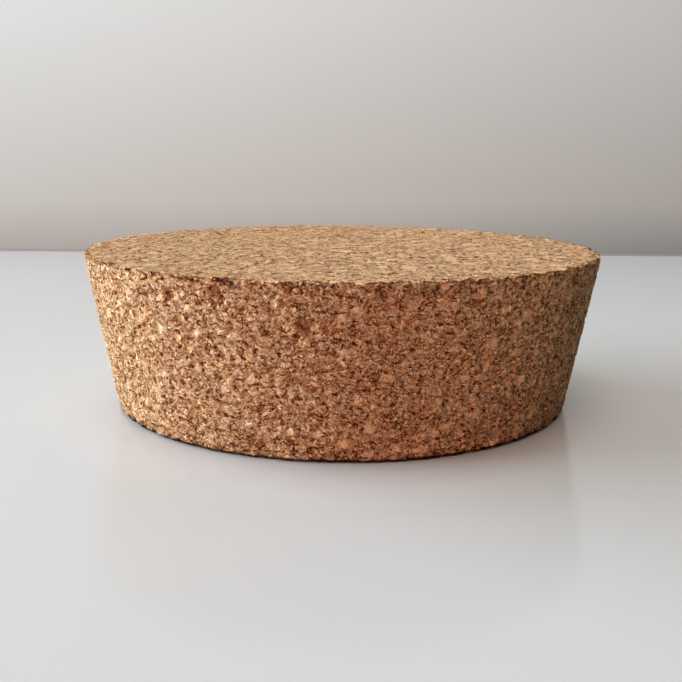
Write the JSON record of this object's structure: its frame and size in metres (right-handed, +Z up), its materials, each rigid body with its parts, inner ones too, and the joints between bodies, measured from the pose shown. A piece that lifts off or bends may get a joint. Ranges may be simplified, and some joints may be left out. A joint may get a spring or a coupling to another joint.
{
  "type": "cork stopper",
  "caption": "Tapered agglomerated-cork stopper that plugs the round mouth of a wide jar or crock, standing on its small face.",
  "frame": {"origin": "centre of the small face, which is the face that it stands on", "axes": "+Z up the axis of the turned body, from the small face to the large face; -Y is the front, the side that shows the most lost granules"},
  "size_m": [0.0998, 0.0998, 0.03],
  "materials": {
    "cork": "matt, sanded agglomerated cork of fine granules, unsealed"
  },
  "bodies": {
    "root": {"stopper": "cork"}
  },
  "joints": []
}
